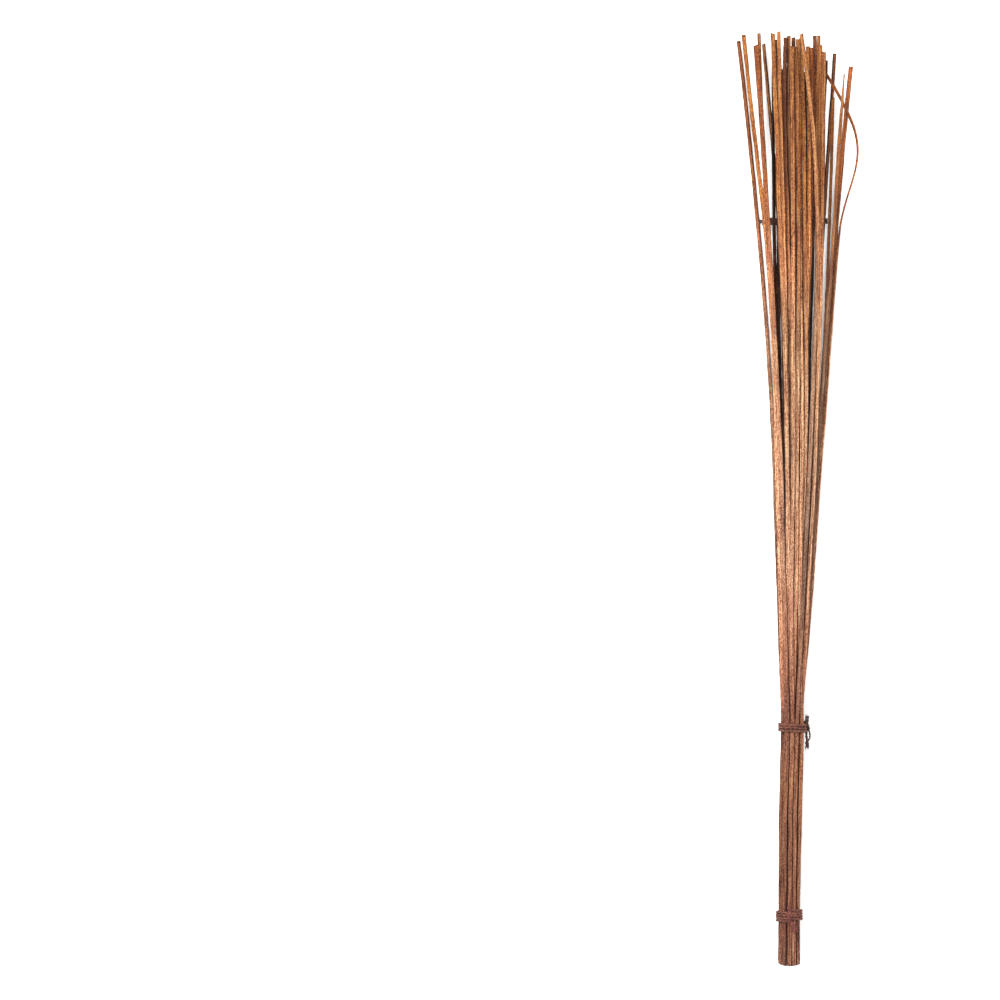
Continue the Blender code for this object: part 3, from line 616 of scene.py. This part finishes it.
def add_strip(solid, slot, finish):
    """One reed: a flat strip of split wood.

    The worn section is carried along the reed's line. The ends are cut at a slant and torn
    a little, which fades out with the square of the distance. Near the foot the section
    narrows, and its rings move forward by the square of how far they lie from the middle
    of the bunch.
    """
    number = int(solid[-2:])
    random = np.random.default_rng(REED_SEED + number)
    foot, tip = REED_LINES[solid][0][[0, -1]]
    count = round((tip - foot) / RING_STEP)
    inner = np.linspace(foot + END_ROOM, tip - END_ROOM, count)
    along = np.concatenate([foot + END_STEPS, inner, tip - END_STEPS[::-1]])
    size = np.concatenate([END_SIZES, np.ones(count), END_SIZES[::-1]])[:, None]
    middle, half_width, half_thickness, forward, right, over = strip_line(random, solid, along)
    x, y, around = worn_section(random, number, along, half_width, half_thickness)

    near_end = np.minimum(along - foot, tip - along)[:, None]
    foot_slant, tip_slant = (random.uniform(-most, most) for most in (FOOT_SLANT, TIP_SLANT))
    slant = np.where(along < (foot + tip) / 2, foot_slant, SLANTS.get(number, tip_slant))[:, None]
    tear = TORN * rough(random, FACE_LENGTH * size, around[:-1], *TEARS)
    shift = np.clip(1 - near_end / END_FADE, 0, 1) ** 2 * (slant * x / (2 * half_width) + tear)
    low = np.clip(1 - (along - foot) / FOOT_FADE, 0, 1)[:, None]
    x = x * (1 - FOOT_TAPER * low)
    off_middle = (middle[:, :1] + x * right[:, :1] - FOOT_MIDDLE) / FOOT_HALF
    shift = shift + FOOT_ROUND * np.clip(low * FOOT_SOON, 0, 1) * np.clip(off_middle**2, 0, 1)

    x, y = x * size, y * size
    places = carried(middle, x, y, right, over) + shift[..., None] * forward[:, None]
    from_side, from_face = random.uniform(0, WOOD_SPREAD, 2)
    # The darkening of split sides, partly painted shade, is left off reeds that stand on edge.
    split_side_tone_and_shade = 0 if number in STANDING else ON_SIDE
    cut = np.clip(1 - near_end / CUT_REACH, 0, 1) * np.where(size < 1, 1.0, CUT_OUTSIDE)
    rows = surface(
        places, (x + from_side, y + from_face, along[:, None]), (ON_EDGE, split_side_tone_and_shade, cut),
        strip_tone_and_shade(solid, number, middle, along),
    )
    quads, caps = tube_faces(len(along), SIDES)
    picture = strip_picture(along, around, np.stack([x, y], -1), quads, caps)
    piece(f"split_{solid}", closed(rows), quads, caps, finish, solid, slot, picture)


# Twine

def corners_at(solids, at):
    """X and height of the corners of these reeds' solids across the band of a tie."""
    found = []
    for solid in solids:
        known_at, *known = REED_LINES[solid]
        for height in (at - TIE_HALF_BAND, at, at + TIE_HALF_BAND):
            middle, wide, thick = (
                np.array([np.interp(height, known_at, rows[:, axis]) for axis in (0, 2)]) for rows in known
            )
            found += [middle + a * wide + b * thick for a in (-1, 1) for b in (-1, 1)]
    return np.array(found)


def loop_round(corners, diameter):
    """One turn of twine round these corners, as X and height.

    In each direction the twine lies against the outermost corner. Round each corner it
    bends in even steps, which stand off just far enough to keep the room between.
    """
    angles = np.radians(np.arange(0, 360, ANGLE_STEP))
    outermost = np.argmax(corners @ np.array([np.cos(angles), np.sin(angles)]), axis=0)
    firsts = np.flatnonzero(outermost != np.roll(outermost, 1))
    points = []
    for first, last in zip(firsts, [*firsts[1:], firsts[0] + len(angles)]):
        bends = math.ceil((last - first) * ANGLE_STEP / WIDEST_BEND)
        bend = math.radians((last - first) * ANGLE_STEP) / bends
        reach = (diameter / 2 + ROOM) / math.cos(bend / 2)
        for number in range(bends):
            angle = math.radians((first - 0.5) * ANGLE_STEP) + bend * (number + 0.5)
            points.append(corners[outermost[first]] + reach * np.array([math.cos(angle), math.sin(angle)]))
    return np.array(points)


def started_near(loop, place):
    """The same loop, starting and ending at its point nearest to the place."""
    sides = np.roll(loop, -1, axis=0) - loop
    share = np.clip(((place - loop) * sides).sum(1) / (sides**2).sum(1), 0, 1)
    nearest = loop + share[:, None] * sides
    first = np.argmin(((nearest - place) ** 2).sum(1))
    return np.vstack([nearest[first], np.roll(loop, -first - 1, axis=0), nearest[first]])


def stepped(path, step, reach):
    """The same path with its kinks evened out, in even steps along it."""
    run = way_along(path)
    keep = np.concatenate([[True], np.diff(run) > LEAST_GAP])
    run, path = run[keep], path[keep]
    return evened(np.linspace(0, run[-1], max(round(run[-1] / step), 4) + 1), run, path, reach)


def turned_round(random, tie, loop):
    """The turns of a tie: its loop again and again, rising evenly by the pitch with each
    turn, plus a wave."""
    count = tie["turns"]
    run = way_along(loop)
    turns = np.append(np.add.outer(np.arange(count), run[:-1] / run[-1]), count)
    flat = np.vstack([loop[:-1]] * count + [loop[-1:]])
    heights = tie["at"] + tie["pitch"] * (turns - count / 2)
    path = stepped(np.column_stack([flat[:, 0], heights, flat[:, 1]]), TWINE_STEP, TURN_REACH)
    path[:, 1] += summed(random, BAND_WAVES, np.arange(len(path)) * TWINE_STEP)
    return path


def twisted(random, path, reference, diameter, tone, redness):
    """Two-ply twine along a path, as rings of rows, one set of rings for each ply.

    The plies are wound round the path half a turn apart. Each is a round tube whose
    radius swells with its strands, a sine that runs round and along it, and with waves,
    and draws in at both ends. The reference is a direction that is never along the path.
    """
    forward = unit(np.gradient(path, axis=0))
    over = unit(square_to(np.broadcast_to(reference, path.shape), forward))
    right = np.cross(forward, over)
    run = way_along(path)
    angle = np.linspace(0, 2 * math.pi, PLY_SIDES, endpoint=False)
    ends = np.clip(np.minimum(run, run[-1] - run) / (DRAWN_IN * diameter) + END_LEAST, 0, 1) ** 0.5
    plies = []
    for ply in range(PLIES):
        phase = 2 * math.pi * (run / (LAY * diameter) + ply / PLIES) + summed(random, LAY_WAVES, run)
        swell = 1 + summed(random, SWELL_WAVES, run)
        offset = (PLY_OFFSET * diameter * (1 + summed(random, OFFSET_WAVES, run)))[:, None]
        centre = path + offset * np.cos(phase)[:, None] * right + offset * np.sin(phase)[:, None] * over
        spun = angle + STRAND_TURN * phase[:, None]
        strands = STRAND_HEIGHT * np.cos(STRANDS * spun)
        fuzz = summed(random, FUZZ_WAVES, run[:, None], angle)
        radius = PLY_RADIUS * diameter * (ends * swell)[:, None] * (1 + strands + fuzz)
        places = carried(centre, radius * np.cos(angle), radius * np.sin(angle), right, over)
        from_side, from_face = random.uniform(0, BAST_SPREAD, 2)
        inside = FIBRE_RADIUS * diameter
        plies.append(surface(
            places,
            (inside * np.cos(spun) + from_side, inside * np.sin(spun) + from_face, run[:, None]),
            ((strands / STRAND_HEIGHT + 1) / 2, redness, 0),
            tone * (1 + summed(random, TONE_WAVES, run))[:, None],
        ))
    return plies


def fibres(random, roots, ways, sizes, tone):
    """Loose fibres as rings of rows: thin tapering tubes of three sides.

    Each starts at its root, runs its way and bends aside with the square of its length.
    """
    count = len(roots)
    length, thickness, sag = (random.uniform(*span, count)[:, None] for span in sizes)
    share = np.linspace(0, 1, FIBRE_RINGS)
    aside = (unit(random.normal(0, 1, (count, 3))) * sag)[:, None]
    run = share * length
    path = roots[:, None] + ways[:, None] * run[..., None] + aside * (run * share)[..., None]
    forward = unit(np.gradient(path, axis=1))
    reference = unit(random.normal(0, 1, (count, 1, 3)))
    over = unit(square_to(np.broadcast_to(reference, path.shape), forward))
    angle = np.linspace(0, 2 * math.pi, FIBRE_SIDES, endpoint=False)
    radius = (thickness * (1 - FIBRE_TAPER * share))[..., None]
    places = carried(path, radius * np.cos(angle), radius * np.sin(angle), np.cross(forward, over), over)
    number = np.arange(count)[:, None, None]
    tones = tone * random.uniform(*FIBRE_TONES, (count, 1, 1))
    return list(surface(places, (number, 0, run[..., None]), (1, 0, 0), tones))


def frayed(random, path, thickness, tone):
    """The fibres at the end of a path of twine. They start a little inside its cut and
    run on along it, each with a random turn aside."""
    shape = (FRAYED_COUNT, 3)
    forward = unit(path[-1] - path[-4])
    ways = unit(forward + random.normal(0, FRAYED_SPREAD, shape))
    roots = path[-1] - forward * FRAYED_ROOT + random.normal(0, FRAYED_APART, shape) * thickness
    return fibres(random, roots, ways, FRAYED, tone)


def hairs(random, path, diameter, tone):
    """Fine fibres on a path of twine. Each starts on its surface and runs out of it and
    forward or back, with a random turn aside."""
    count = int(HAIRS_PER_MM * (len(path) - 1) * TWINE_STEP)
    pick = random.integers(HAIR_CLEAR, len(path) - HAIR_CLEAR, count)
    forward = unit(path[pick + 1] - path[pick - 1])
    out = unit(square_to(random.normal(0, 1, (count, 3)), forward))
    roots = path[pick] + out * diameter * HAIR_ROOT
    back_or_on = random.choice([-1, 1], (count, 1))
    ways = unit(HAIR_RISE * out + back_or_on * forward + random.normal(0, HAIR_SPREAD, (count, 3)))
    return fibres(random, roots, ways, HAIRS, tone)


def knotted(random, middle, size, turn, diameter, tone, redness):
    """An overhand knot of twine: sin t + 2 sin 2t across, cos t - 2 cos 2t along and
    -sin 3t up, made to fill a box of this size and turned round its upright axis."""
    t = np.linspace(KNOT_FROM, KNOT_TO, KNOT_POINTS)
    x = (np.sin(t) + 2 * np.sin(2 * t)) / KNOT_REACH
    y = (np.cos(t) - 2 * np.cos(2 * t)) / KNOT_REACH
    x, y = x * math.cos(turn) - y * math.sin(turn), x * math.sin(turn) + y * math.cos(turn)
    path = middle + np.stack([x, y, -np.sin(3 * t)], 1) * (np.array(size) - diameter) / 2
    bend = np.gradient(np.gradient(path, axis=0), axis=0)
    return twisted(random, path, bend, diameter, tone, redness)


def joined(tubes):
    """Closed tubes as one list of rows, of quads and of triangles."""
    rows, quads, caps, count = [], [], [], 0
    for rings in tubes:
        quad, cap = tube_faces(*rings.shape[:2])
        rows.append(closed(rings))
        quads.append(quad + count)
        caps.append(cap + count)
        count += len(rows[-1])
    return np.vstack(rows), np.vstack(quads), np.vstack(caps)


def add_tie(solid, held, finish):
    """A tie: turns of twine round the reeds, a knot over their ends, and frayed ends.

    The knot stands off the turns by half its depth, towards the place it is near to.
    """
    tie = TIES[solid]
    random = np.random.default_rng(TIE_SEED + list(TIES).index(solid))
    diameter, redness = tie["diameter"], tie["redness"]
    band_tone, knot_tone, end_tone = tie["tones"]
    near = np.array(tie["near"])
    loop = started_near(loop_round(corners_at(held, tie["at"]), diameter), near)
    (start_x, start_z), (out_x, out_z) = loop[0], unit(near - loop[0])
    outward = np.array([out_x, 0, out_z])
    depth = tie["knot"][0] if abs(out_x) > abs(out_z) else tie["knot"][2]
    middle = np.array([start_x, tie["at"], start_z]) + outward * (depth - diameter) / 2

    path = turned_round(random, tie, loop)
    tubes = twisted(random, path, ALONG, diameter, band_tone, BAND_REDNESS * redness)
    turn = random.uniform(0, 1)
    tubes += knotted(random, middle, tie["knot"], turn, diameter * KNOT_SHARE, knot_tone, redness)
    for place in (path[0], path[-1]):
        turn = random.uniform(0, LOCK_TURN)
        lock = place + outward * LOCK_OUT
        tubes += knotted(random, lock, LOCK_SIZE, turn, LOCK_TWINE, knot_tone, redness)
    if tie["small_knot"]:
        place = middle + tie["small_knot"]
        tubes += knotted(random, place, SMALL_SIZE, SMALL_TURN, SMALL_TWINE, end_tone, redness)
    loose = []
    for thickness, steps in tie["ends"]:
        end = stepped(middle + np.array(steps, float), END_STEP, END_REACH)
        tubes += twisted(random, end, UP, thickness, end_tone, redness)
        loose += frayed(random, end, thickness, end_tone)
    loose += hairs(random, path, diameter, band_tone)
    piece(tie["piece"], *joined(tubes + loose), finish, solid, "twine")


# Finishes

def colour(code):
    """An sRGB hex colour as linear red, green, blue and alpha."""
    parts = np.array([int(code[i:i + 2], 16) for i in (1, 3, 5)]) / 255
    linear = np.where(parts <= 0.04045, parts / 12.92, ((parts + 0.055) / 1.055) ** 2.4)
    return (*linear, 1.0)


def node(tree, kind, inputs=(), stops=(), **settings):
    """Adds a node with its settings and gives back its outputs. Its inputs, listed in order
    or by name, each get a value or a link from an output. A ramp runs through its stops,
    each a place from 0 to 1 and a hex colour."""
    made = tree.nodes.new("ShaderNode" + kind)
    for name, value in settings.items():
        setattr(made, name, value)
    for key, value in (inputs if isinstance(inputs, dict) else dict(enumerate(inputs))).items():
        if isinstance(value, bpy.types.NodeSocket):
            tree.links.new(value, made.inputs[key])
        else:
            made.inputs[key].default_value = value
    for _ in stops[2:]:
        made.color_ramp.elements.new(0.5)
    for stop, (place, code) in enumerate(stops):
        element = made.color_ramp.elements[stop]
        element.position, element.color = place, colour(code)
    return made.outputs


def new_material(name):
    """An empty material, and its tree of nodes."""
    made = bpy.data.materials.new(name)
    made.use_nodes = True
    made.node_tree.nodes.clear()
    return made, made.node_tree


def carried_by(tree):
    """What the surface carries: its place in the fibre, its three marks and its tone."""
    fibre, marks, tone = (
        node(tree, "Attribute", attribute_name=name) for name in ("fibre", "place", "tone")
    )
    return fibre["Vector"], node(tree, "SeparateXYZ", (marks["Vector"],)), tone["Fac"]


def grained(tree, fibre, across, along, detail, sharp):
    """Noise drawn out along the fibres: its grains are this wide and long, in mm."""
    size = {"Vector": fibre, "Scale": (1 / across, 1 / across, 1 / along)}
    vector = node(tree, "Mapping", size, vector_type="POINT")[0]
    noise = {"Vector": vector, "Scale": 1.0, "Detail": detail, "Roughness": sharp}
    return node(tree, "TexNoise", noise)["Fac"]


def uneven(tree, base, grains):
    """The base plus each grain, less its mean and times its weight, kept from 0 to 1."""
    value = 0.0
    for grain, weight in grains:
        off_mean = node(tree, "Math", (grain, 0.5), operation="SUBTRACT")[0]
        value = node(tree, "Math", (off_mean, weight, value), operation="MULTIPLY_ADD")[0]
    return node(tree, "Math", (value, base), operation="ADD", use_clamp=True)[0]


def dull_skin(tree, base, light, relief, strength, depth, sockets):
    """Ends a material: its colour times how light it is, and its relief as a bump, so
    many millimetres deep."""
    lit = node(tree, "VectorMath", {0: base, "Scale": light}, operation="SCALE")[0]
    bump = node(tree, "Bump", {"Height": relief, "Strength": strength, "Distance": depth * MM})[0]
    shader = node(tree, "BsdfPrincipled", {"Base Color": lit, "Normal": bump, **sockets})[0]
    node(tree, "OutputMaterial", {"Surface": shader})


def split_reed(name, colours, tips):
    """Split reed, stained and dried: a coarse open grain cut along its fibres.

    To the eye it is a satin wood with short light and dark dashes all along it, patches where the stain
    took more, dark hair lines, light edges that are partly wear and partly a painted highlight, split sides
    darker partly in their own colour and partly as painted shade, and dark cut ends. Its tone brings
    painted shade where a reed lies under others and along its edges.
    """
    made, tree = new_material(name)
    fibre, (edge, side, cut), tone = carried_by(tree)
    far = node(tree, "SeparateXYZ", (fibre,))[2]
    specks, dashes, patches, stain, streaks, lines = (
        grained(tree, fibre, *size) for size in (SPECKS, DASHES, PATCHES, STAIN, STREAKS, LINES)
    )
    streaked = node(tree, "MapRange", (far, *STREAKED))[0]
    value = uneven(tree, 0.5, (
        (dashes, DASHED), (specks, SPECKLED), (streaks, streaked), (patches, PATCHED), (stain, STAINED),
    ))
    wood = node(tree, "ValToRGB", (value,), tuple(zip(WOOD_STOPS, colours)))[0]
    height = node(tree, "Math", (far, MM), operation="MULTIPLY", use_clamp=True)[0]
    cast = node(tree, "ValToRGB", (height,), (*COLOUR_ALONG, *zip(TIPS_AT, tips)))[0]
    wood = node(tree, "Mix", {0: 1.0, 6: wood, 7: cast}, data_type="RGBA", blend_type="MULTIPLY")[2]

    off_line = node(tree, "Math", (lines, 0.5), operation="SUBTRACT")[0]
    off_line = node(tree, "Math", (off_line,), operation="ABSOLUTE")[0]
    hair = node(tree, "MapRange", (off_line, *LINED), interpolation_type="SMOOTHSTEP")[0]
    # The light edges are partly wear and partly a painted highlight.
    wear_and_highlight = node(tree, "Math", (patches, *WEAR_AND_HIGHLIGHT_SPREAD), operation="MULTIPLY_ADD", use_clamp=True)[0]
    wear_and_highlight = node(tree, "Math", (edge, wear_and_highlight), operation="MULTIPLY")[0]
    light = node(tree, "Math", (hair, tone), operation="MULTIPLY")[0]
    # Split sides are darker partly in their own colour and partly as painted shade.
    for mark, share in ((side, SIDE_TONE_AND_PAINTED_SHADE), (wear_and_highlight, EDGE_WEAR_AND_HIGHLIGHT), (cut, CUT_SHADE)):
        left = node(tree, "Math", (mark, share, 1.0), operation="MULTIPLY_ADD")[0]
        light = node(tree, "Math", (light, left), operation="MULTIPLY")[0]

    relief = node(tree, "Math", (hair, LINE_DEPTH), operation="MULTIPLY")[0]
    relief = node(tree, "Math", (dashes, DASH_DEPTH, relief), operation="MULTIPLY_ADD")[0]
    gloss = node(tree, "Math", (value, WOOD_GLOSS, WOOD_ROUGHNESS), operation="MULTIPLY_ADD")[0]
    dull_skin(tree, wood, light, relief, GRAIN_BUMP, GRAIN_DEPTH, {
        "Roughness": gloss, "Specular IOR Level": WOOD_SHINE,
    })
    return made


def bast_twine(name):
    """Twine of twisted bast fibre, stained dark: dull, with pale fibres, a painted highlight on the crests
    of its strands and painted shade between them.
    """
    made, tree = new_material(name)
    fibre, (crest_for_highlight, redness, _), tone = carried_by(tree)
    bast, patches = (grained(tree, fibre, *size) for size in (BAST, BAST_PATCHES))
    # Painted shade between the strands and a painted highlight on their crests.
    base = node(tree, "Math", (crest_for_highlight, CREST_PAINTED_HIGHLIGHT, GROOVE_PAINTED_SHADE), operation="MULTIPLY_ADD")[0]
    value = uneven(tree, base, ((bast, BAST_SHOWN), (patches, BAST_PATCHED)))
    plain, red = (
        node(tree, "ValToRGB", (value,), tuple(zip(TWINE_STOPS, colours)))[0]
        for colours in (TWINE_COLOURS, RED_COLOURS)
    )
    twine = node(tree, "Mix", {0: redness, 6: plain, 7: red}, data_type="RGBA")[2]
    dull_skin(tree, twine, tone, bast, BAST_BUMP, BAST_DEPTH, {
        "Roughness": BAST_ROUGHNESS, "IOR": BAST_IOR,
    })
    return made


FINISHES = {slot: split_reed(*wood) for slot, wood in WOODS.items()}
SLOTS = {part["node"]: part["material_slot"] for part in frame["record"]["subparts"]}
for name in REEDS:
    add_strip(name, SLOTS[name], FINISHES[SLOTS[name]])
twine = bast_twine("twisted_bast_twine")
for name in TIES:
    held = [f"reed_{number:02d}" for number in BACK_TIE_REEDS] if name == "back_tie" else REEDS
    add_tie(name, held, twine)


# Floor, light and camera

def add_floor():
    """A pale matt floor that glows a little, so that it keeps near white beside the bunch.
    It is a square so large that no view of the bunch shows its edge."""
    mesh = bpy.data.meshes.new("floor")
    corners = [(FLOOR_HALF * x, FLOOR_HALF * y, 0) for x, y in ((-1, -1), (1, -1), (1, 1), (-1, 1))]
    mesh.from_pydata(corners, [], [(0, 1, 2, 3)])
    made, tree = new_material("pale_matt_card")
    shader = node(tree, "BsdfPrincipled", {
        "Base Color": colour(FLOOR_COLOUR), "Roughness": FLOOR_ROUGHNESS, "Specular IOR Level": FLOOR_SHINE,
        "Emission Color": colour(WHITE), "Emission Strength": FLOOR_GLOW,
    })[0]
    node(tree, "OutputMaterial", {"Surface": shader})
    mesh.materials.append(made)
    thing = bpy.data.objects.new("floor", mesh)
    bpy.context.scene.collection.objects.link(thing)


def add_lamp(name, place, size, power):
    """A square soft box that faces the bunch."""
    lamp = bpy.data.lights.new(name, "AREA")
    lamp.size, lamp.energy = size, power
    thing = bpy.data.objects.new(name, lamp)
    thing.location = place
    thing.rotation_euler = (-thing.location).to_track_quat("-Z", "Y").to_euler()
    bpy.context.scene.collection.objects.link(thing)


add_floor()
add_lamp("key_light", KEY_PLACE, KEY_SIZE, KEY_POWER)
world = bpy.data.worlds.new("studio")
world.use_nodes = True
background = world.node_tree.nodes["Background"].inputs
background["Color"].default_value = colour(WHITE)
background["Strength"].default_value = STUDIO_LIGHT
scene = bpy.context.scene
scene.world = world
scene.view_settings.view_transform = "Standard"

camera = bpy.data.objects.new("camera", bpy.data.cameras.new("camera"))
camera.data.lens = LENS
camera.data.clip_end = SIGHT
camera.location = (*PICTURE_MIDDLE, PICTURE_WIDTH * LENS / camera.data.sensor_width + REED_HEIGHT)
scene.collection.objects.link(camera)
scene.camera = camera
